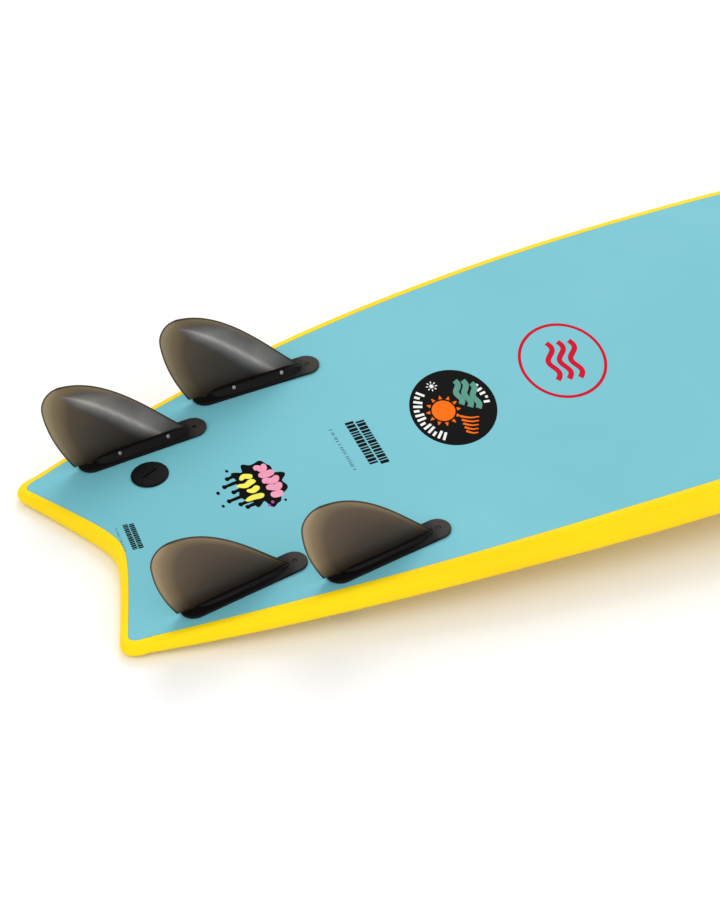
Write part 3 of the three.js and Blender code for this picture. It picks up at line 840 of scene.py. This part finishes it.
def stadium(inset, z, steps=16):
    """The plate's outline at a height, moved inward."""
    radius = PLATE_WIDTH / 2 - inset
    straight = (PLATE_LENGTH - PLATE_WIDTH) / 2
    ring = []
    for centre, start in ((straight, -90), (-straight, 90)):
        for k in range(steps + 1):
            angle = math.radians(start + 180 * k / steps)
            ring.append((centre + radius * math.cos(angle), radius * math.sin(angle), z))
    return ring


def plate():
    rings = [stadium(PLATE_BEVEL, 0), stadium(0, PLATE_BEVEL)]
    steps = 5
    for k in range(steps + 1):
        angle = math.pi / 2 * k / steps
        height = PLATE_HEIGHT - PLATE_ROUND * (1 - math.sin(angle))
        rings.append(stadium(PLATE_ROUND * (1 - math.cos(angle)), height))
    return loft("plate", rings)


def ridge(side):
    """The ridge that grips the blade: high on the inner side, a low lip on the outer side."""
    middle = (RIDGE_START + RIDGE_END) / 2
    half = (RIDGE_END - RIDGE_START) / 2
    base = PLATE_HEIGHT - 0.5
    section = softened([
        (-RIDGE_INNER, 0), (-RIDGE_INNER_TOP, RIDGE_HEIGHT), (1, RIDGE_HEIGHT),
        (2, LIP_HEIGHT), (RIDGE_OUTER_TOP, LIP_HEIGHT), (RIDGE_OUTER, 0),
    ], 1.5)
    rings = []
    steps = 40
    for k in range(steps + 1):
        u = -math.cos(math.pi * k / steps)
        grow = max(0.12, (1 - abs(u) ** 5) ** 0.5)
        rings.append([
            (middle + half * u, side * y * grow, base + z * grow) for y, z in section
        ])
    return loft("ridge", rings)


def grub_frame(x, side):
    """A grub screw's frame: its axis leaves the ridge's inner face, tilted up."""
    move = Matrix.Translation(Vector((x, side * GRUB_FACE, PLATE_HEIGHT + GRUB_RISE)) * MM)
    return move @ Matrix.Rotation(side * (math.pi / 2 - GRUB_TILT), 4, "X")


def base_cutters(side):
    """What a base loses to the blade, its tabs, the grub screws and the through-bolts."""
    foil = (leading_edge(BLADE_ROOT), SLOT_REAR, BLADE_THICKNESS)
    slot = loft("slot", [
        foil_ring(*foil, z, side, SLOT_GAP, 12) for z in (BLADE_ROOT - GAP, SLOT_TOP)
    ])
    cutters = [slot] + [tab(c, side, GAP, -TAB_DEPTH - GAP, 10) for c in TAB_CENTRES]
    for cutter in cutters:
        cutter.data.transform(blade_frame(side))
    for x in (-TAB_OFFSET, TAB_OFFSET):
        hole = post("hole", GRUB_RADIUS + 0.45, 0.2, 30)
        hole.data.transform(grub_frame(x, side))
        cutters.append(hole)
    for x in (-BOLT_OFFSET, BOLT_OFFSET):
        countersunk = [(2.75, -5), (2.75, PLATE_HEIGHT - 0.8), (4.3, PLATE_HEIGHT + 0.7)]
        hole = loft("hole", [circle(r, z, 24) for r, z in countersunk])
        hole.data.transform(shifted(Matrix(), x))
        cutters.append(hole)
    return cutters


def fin_base(name, matrix, side):
    obj = plate()
    reach = TAB_LENGTH / 2 + CUP_WALL
    cups = [
        block("cup", (x - reach, -CUP_HALF_WIDTH, -CUP_DEPTH), (x + reach, CUP_HALF_WIDTH, 1))
        for x in (-TAB_OFFSET, TAB_OFFSET)
    ]
    boolean(obj, "UNION", [ridge(side), *cups])
    boolean(obj, "DIFFERENCE", base_cutters(side))
    obj.name = f"base_{name}"
    obj.matrix_world = matrix
    finished(obj, looks["fin_base"], "black_plastic", "board", [f"fin_base_{name}"], sharp=40)


def hexagon(radius, z, count):
    """Points on a hexagon of that inner radius."""
    ring = []
    for k in range(count):
        angle = 2 * math.pi * k / count
        fold = (angle + math.pi / 6) % (math.pi / 3) - math.pi / 6
        r = radius / math.cos(fold)
        ring.append((r * math.cos(angle), r * math.sin(angle), z))
    return ring


def grub_screw(name, end, matrix, side, x):
    top = GRUB_START + GRUB_LENGTH
    profile = [(1.5, GRUB_START), (GRUB_RADIUS, 1.6)]
    for k in range(9):
        profile.append((GRUB_RADIUS - (THREAD_DEPTH if k % 2 else 0), 1.9 + THREAD_STEP * k))
    profile += [(GRUB_RADIUS, top - 0.5), (2.0, top)]
    rings = [circle(r, z, 24) for r, z in profile]
    rings += [hexagon(HEX_RADIUS, top, 24), hexagon(HEX_RADIUS - 0.15, top - HEX_DEPTH, 24)]
    obj = loft(f"grub_{name}_{end}", rings)
    obj.matrix_world = matrix @ grub_frame(x, side)
    finished(
        obj, looks["steel"], "steel", f"grub_{name}_{end}", [f"grub_screw_{name}_{end}"], sharp=30,
    )


def bolt_and_washer(name, end, matrix, x):
    low = -depth_below(matrix, x) + WASHER_SINK
    head = low + GAP
    neck, top = head + HEAD_HEIGHT, PLATE_HEIGHT - BOLT_RECESS
    bolt = lathe(f"bolt_{name}_{end}", [
        (0.4, head), (HEAD_RADIUS, head), (HEAD_RADIUS, neck), (BOLT_RADIUS, neck),
        (BOLT_RADIUS, top), (0.4, top),
    ], 32, 0.35)
    a, b = CROSS_LENGTH / 2, CROSS_WIDTH / 2
    cross = [
        block("cross", (-x, -y, head - 1), (x, y, head + CROSS_DEPTH)) for x, y in ((a, b), (b, a))
    ]
    boolean(bolt, "DIFFERENCE", cross)
    well, top = low + WELL_DEPTH, low + WASHER_HEIGHT
    washer = lathe(f"washer_{name}_{end}", [
        (WELL_RADIUS, low), (WASHER_RADIUS, low), (WASHER_RADIUS, top),
        (WASHER_BORE, top), (WASHER_BORE, well), (WELL_RADIUS, well),
    ], 40, 0.5, hollow=True)
    for obj, look, slot, node in (
        (bolt, "blackened", "steel", "through_bolt"),
        (washer, "black_plastic", "black_plastic", "deck_washer"),
    ):
        obj.matrix_world = shifted(matrix, x)
        finished(obj, looks[look], slot, "board", [f"{node}_{name}_{end}"])


for name, (matrix, side) in fins.items():
    fin_base(name, matrix, side)
    blade(name, matrix, side)
    for end, way in (("aft", -1), ("fore", 1)):
        grub_screw(name, end, matrix, side, way * TAB_OFFSET)
        bolt_and_washer(name, end, matrix, way * BOLT_OFFSET)


# ---- leash plug ----
def plug_disc():
    obj = lathe("plug_disc", [
        (0.4, -SHANK_LENGTH), (SHANK_RADIUS, -SHANK_LENGTH), (SHANK_RADIUS, 0), (PLUG_RADIUS, 0),
        (PLUG_RADIUS, PLUG_EDGE), (PLUG_RADIUS - PLUG_BEVEL, PLUG_HEIGHT), (0.4, PLUG_HEIGHT),
    ], 96, 0.9)
    x, y = COIN_LENGTH / 2, COIN_WIDTH / 2
    slot = block("slot", (-x, -y, PLUG_HEIGHT - COIN_DEPTH), (x, y, PLUG_HEIGHT + 1))
    slot.data.transform(Matrix.Rotation(COIN_TURN, 4, "Z"))
    boolean(obj, "DIFFERENCE", [slot])
    obj.matrix_world = plug
    finished(obj, looks["black_plastic"], "black_plastic", "board", ["leash_plug_bolt"])


def plug_cup():
    """The leash cup, open towards the deck, with a boss that takes the disc's shank."""
    profile = [
        (LEASH_BORE, 0), (FLANGE_RADIUS, 0), (FLANGE_RADIUS, FLANGE_HEIGHT),
        (LEASH_RADIUS, FLANGE_HEIGHT), (LEASH_RADIUS, LEASH_SHOULDER),
        (BOSS_RADIUS, LEASH_SHOULDER), (BOSS_RADIUS, BOSS_TOP),
        (BOSS_BORE, BOSS_TOP), (BOSS_BORE, LEASH_FLOOR), (LEASH_BORE, LEASH_FLOOR),
    ]
    low = -plug_depth
    obj = lathe("plug_cup", [(r, low + z) for r, z in profile], 64, 0.6, hollow=True)
    reach = BAR_HALF_LENGTH + BAR_GAP
    bore = post("bore", BAR_RADIUS + BAR_GAP, -reach, reach)
    bore.data.transform(bar_frame())
    boolean(obj, "DIFFERENCE", [bore])
    obj.matrix_world = plug
    finished(obj, looks["black_plastic"], "black_plastic", "board", ["leash_plug_cup"])


def bar_frame():
    move = Matrix.Translation(Vector((0, 0, -plug_depth + BAR_DEPTH)) * MM)
    return move @ Matrix.Rotation(math.pi / 2, 4, "X")


def plug_bar():
    half = BAR_HALF_LENGTH
    profile = [(0.3, -half), (BAR_RADIUS, -half), (BAR_RADIUS, half), (0.3, half)]
    obj = lathe("plug_bar", profile, 32, 0.3)
    obj.matrix_world = plug @ bar_frame()
    finished(obj, looks["steel"], "steel", "board", ["leash_plug_bar"])


plug_disc()
plug_cup()
plug_bar()


# ---- prints ----
PRINT_FOOT, PRINT_THICKNESS, LAYER_STEP = 0.02, 0.1, 0.07


class Print:
    """Flat shapes in a unit square, drawn on the bottom sheet. Its right is -Y and its up is +X.

    Its place is its middle (station, offset), its half width and half height, and its turn.
    """

    def __init__(self, name, place, ink, layer=0):
        self.name = name
        self.middle, self.size, self.turn = place
        self.ink = ink
        self.layer = layer
        self.points = []
        self.faces = []

    def grid(self, rows):
        first, columns = len(self.points), len(rows[0])
        for row in rows:
            self.points += row
        for i in range(len(rows) - 1):
            for j in range(columns - 1):
                a = first + i * columns + j
                self.faces.append((a, a + 1, a + 1 + columns, a + columns))
        return self

    def disc(self, reach, centre=(0, 0), inner=0.0, rings=9, sides=96):
        """A round shape whose edge is at reach(angle), from inner to 1 of the way out."""
        rows = []
        for i in range(rings + 1):
            grow = inner + (1 - inner) * i / rings
            row = []
            for j in range(sides + 1):
                angle = 2 * math.pi * (j % sides) / sides
                r = reach(angle) * grow
                row.append((centre[0] + r * math.cos(angle), centre[1] + r * math.sin(angle)))
            rows.append(row)
        return self.grid(rows)

    def stroke(self, path, width):
        """A line through the path's points, width(t) wide on each side."""
        rows = []
        last = len(path) - 1
        for k, (u, v) in enumerate(path):
            before, after = path[max(k - 1, 0)], path[min(k + 1, last)]
            along = Vector((after[0] - before[0], after[1] - before[1])).normalized()
            w = width(k / last)
            rows.append([(u - along.y * w, v + along.x * w), (u + along.y * w, v - along.x * w)])
        return self.grid(rows)

    def bar(self, u0, v0, u1, v1):
        return self.stroke([(u0, (v0 + v1) / 2), (u1, (v0 + v1) / 2)], lambda t: abs(v1 - v0) / 2)

    def make(self):
        """Drapes the shapes on the sheet and thickens them, higher layers more."""
        obj = build(self.name, [self.drape(p) for p in self.points], self.faces)
        work = bmesh.new()
        work.from_mesh(obj.data)
        made = bmesh.ops.extrude_face_region(work, geom=work.faces[:], use_keep_orig=True)
        for item in made["geom"]:
            if isinstance(item, bmesh.types.BMVert):
                item.co.z += (PRINT_THICKNESS + LAYER_STEP * self.layer) * MM
        bmesh.ops.recalc_face_normals(work, faces=work.faces)
        work.to_mesh(obj.data)
        work.free()
        finished(obj, self.ink, "bottom_sheet", "board", sharp=60)

    def drape(self, point):
        u, v = point[0] * self.size[0], point[1] * self.size[1]
        turn = math.radians(self.turn)
        s = self.middle[0] + v * math.cos(turn) + u * math.sin(turn)
        y = self.middle[1] - u * math.cos(turn) + v * math.sin(turn)
        return place((s, y, bottom_height(s) + PRINT_FOOT))


def ink(name, shade):
    look = Look(name, 0.5, specular=0.03)
    lighter, darker = [tuple([c * k for c in colour(shade)[:3]] + [1]) for k in (1.03, 0.95)]
    return look.paint(look.noise(60), [(0.35, darker), (0.65, lighter)]).material


BLACK = ink("black ink", "070606")
RED = ink("red ink", "C80D2D")
ORANGE = ink("orange ink", "F56F0B")
TEAL = ink("teal ink", "5C9686")
WHITE = ink("white ink", "F2F2EE")
PINK = ink("pink ink", "F2A0BB")
YELLOW = ink("yellow ink", "F6EE5E")
PURPLE = ink("purple ink", "B44BB0")
GREY = ink("grey ink", "4A6A70")


def wave(u0, u1, v, height, cycles, steps=48):
    """A wavy line across, from u0 to u1."""
    points = []
    for k in range(steps + 1):
        t = k / steps
        points.append((u0 + (u1 - u0) * t, v + height * math.sin(2 * math.pi * cycles * t)))
    return points


def ring_print():
    mark = Print("ring_print", ((666, 33), (76, 53.5), -17), RED)
    mark.disc(lambda a: 1, inner=0.93, rings=1, sides=128)
    for v in (-0.24, 0.02, 0.28):
        mark.stroke(wave(-0.5, 0.5, v, 0.085, 1.5), lambda t: 0.062)
    mark.make()


def rays(mark, centre, count, reaches, width):
    """Strokes straight out from a centre, through each of the reaches."""
    for k in range(count):
        angle = 2 * math.pi * k / count
        path = [(centre[0] + r * math.cos(angle), centre[1] + r * math.sin(angle)) for r in reaches]
        mark.stroke(path, width)


def badge_print():
    where = ((508, 15.5), (73.6, 52.3), -17)
    Print("badge_ground", where, BLACK).disc(lambda a: 1).make()
    sun = Print("badge_sun", where, ORANGE, 1)
    middle = (0.06, -0.24)
    sun.disc(lambda a: 0.27, middle, rings=4, sides=48)
    rays(sun, middle, 12, (0.31, 0.35, 0.4), lambda t: 0.045 * (1 - 0.8 * t))
    sun.make()
    sea = Print("badge_sea", where, TEAL, 2)
    for u0, u1, v in ((-0.56, 0.12, 0.56), (-0.66, 0.06, 0.38), (-0.68, -0.04, 0.2)):
        sea.stroke(wave(u0, u1, v, 0.045, 1.5), lambda t: 0.068)
    sea.make()
    reeds = Print("badge_reeds", where, ORANGE, 2)
    for k in range(5):
        u, v, height = 0.26 + 0.1 * k, 0.1 + 0.01 * k, 0.42 - 0.04 * k
        path = [(u + 0.09 * math.sin(2 * t), v + height * t) for t in (0, 0.3, 0.6, 1)]
        reeds.stroke(path, lambda t: 0.028 - 0.014 * t)
    reeds.make()
    dashes = Print("badge_dashes", where, WHITE, 1)
    for first, last, count, low, high in ((-124, -27, 13, 0.7, 0.91), (92, 126, 5, 0.72, 0.86)):
        for k in range(count):
            angle = math.radians(first + (last - first) * k / (count - 1))
            inner = low + (0.08 if k % 3 == 1 else 0)
            path = [(r * math.cos(angle), r * math.sin(angle)) for r in (inner, high)]
            dashes.stroke(path, lambda t: 0.03)
    star = (-0.62, -0.36)
    dashes.disc(lambda a: 0.05, star, rings=1, sides=16)
    rays(dashes, star, 8, (0.08, 0.13), lambda t: 0.012)
    dashes.make()


def squirm(u, bend, low, high, steps=14):
    """A wriggling upright line."""
    points = []
    for k in range(steps + 1):
        t = k / steps
        points.append((u + bend * math.sin(2.6 * math.pi * t), low + (high - low) * t))
    return points


def blunt(t):
    """The share of its width that a stroke with rounded ends has at t."""
    return max(0.03, 1 - abs(2 * t - 1) ** 4) ** 0.5


def splat_print():
    where = ((248, 6), (46, 31), -3)
    rim = [(chance.uniform(0.03, 0.09), chance.uniform(0, 6.28)) for _ in range(4)]

    def edge(angle):
        wobble = sum(h * math.sin((5 + 3 * k) * angle + p) for k, (h, p) in enumerate(rim))
        return 0.9 + wobble

    ground = Print("splat_ground", where, BLACK).disc(edge)
    runs = [
        (-0.62, -1.02), (-0.36, -1.28), (-0.05, -1.08), (0.22, -1.42), (0.48, -1.1), (0.66, -0.92),
    ]
    for u, v in runs:
        ground.stroke([(u, -0.5), (u, (v - 0.5) / 2), (u + 0.02, v)], lambda t: 0.075 - 0.02 * t)
        ground.disc(lambda a: 0.085, (u + 0.02, v), rings=1, sides=16)
    for u, v, r in ((-0.9, -0.86, 0.06), (-0.2, -1.62, 0.07), (0.34, -1.72, 0.06), (0.9, 0.5, 0.05)):
        ground.disc(lambda a, r=r: r, (u, v), rings=1, sides=16)
    ground.make()
    blobs = Print("splat_blobs", where, PINK, 1)
    for k in range(5):
        u = -0.58 + 0.29 * k
        top = 0.78 - 0.55 * abs(u) ** 2
        path = squirm(u, chance.uniform(-0.05, 0.05), 0.1, top)
        blobs.stroke(path, lambda t: 0.13 * blunt(t))
    blobs.make()
    drips = Print("splat_drips", where, YELLOW, 1)
    for k in range(4):
        u = -0.45 + 0.29 * k
        low = -0.62 - 0.24 * (k % 2)
        path = squirm(u, chance.uniform(-0.05, 0.05), -0.1, low)
        drips.stroke(path, lambda t: (0.12 - 0.04 * t) * blunt(t))
    drips.make()
    touch = Print("splat_touch", where, PURPLE, 1)
    touch.disc(lambda a: 0.06, (0.82, 0.02), rings=1, sides=16)
    touch.disc(lambda a: 0.05, (0.9, -0.16), rings=1, sides=16)
    touch.make()


def block_print(name, where, low):
    """Two rows of plain blocks, and a row of ticks at low under them, where a label would be."""
    rows = Print(name, where, BLACK)
    for v, first, last in ((0.55, -0.93, 1), (-0.55, -1, 0.9)):
        u = first
        while u < last - 0.04:
            width = chance.choice((0.07, 0.1, 0.12))
            rows.bar(u, v - 0.46, min(u + width, last), v + 0.46)
            u += width + 0.035
    rows.make()
    line = Print(f"{name}_ticks", where, GREY)
    u = -0.92
    while u < 0.9:
        line.bar(u, low - 0.16, u + 0.03, low + 0.16)
        u += chance.choice((0.07, 0.09, 0.14))
    line.make()


ring_print()
badge_print()
splat_print()
block_print("label_blocks", ((389, 7), (46.5, 11.5), -5), -2.7)
block_print("tail_blocks", ((82.5, 3), (25, 6.5), -8), -2.3)


# ---- floor and light ----
FLOOR_HALF, FLOOR_HEIGHT = 14, -0.0002
WORLD_STRENGTH = 0.82


def floor():
    corners = ((-1, -1), (1, -1), (1, 1), (-1, 1))
    points = [(x * FLOOR_HALF, y * FLOOR_HALF, FLOOR_HEIGHT) for x, y in corners]
    obj = build("floor", points, [(0, 1, 2, 3)])
    look = Look("pale floor", 0.9, specular=0.1)
    look.paint(look.noise(2), [(0.3, grey(0.97)), (0.7, grey(0.99))])
    obj.data.materials.append(look.material)


def sky():
    world = bpy.data.worlds.new("studio")
    bpy.context.scene.world = world
    world.use_nodes = True
    background = world.node_tree.nodes["Background"]
    background.inputs["Color"].default_value = grey(1)
    background.inputs["Strength"].default_value = WORLD_STRENGTH


def soft_light(name, location, target, size, power):
    data = bpy.data.lights.new(name, "AREA")
    data.shape = "RECTANGLE"
    data.size, data.size_y = size
    data.energy = power
    obj = bpy.data.objects.new(name, data)
    obj.location = location
    aim = Vector(target) - Vector(location)
    obj.rotation_euler = aim.to_track_quat("-Z", "Y").to_euler()
    bpy.context.collection.objects.link(obj)


floor()
sky()
soft_light("key", (4.6, 7.4, 9.6), (0, 0, 0), (8, 8), 540)
soft_light("low", (0.2, -3.4, 1.0), (-0.7, 0, 0.08), (1.6, 0.7), 15)
soft_light("tail", (-2.1, -0.9, 1.5), (-0.85, 0, 0.05), (1.3, 1.3), 6)
bpy.context.scene.view_settings.view_transform = "Standard"
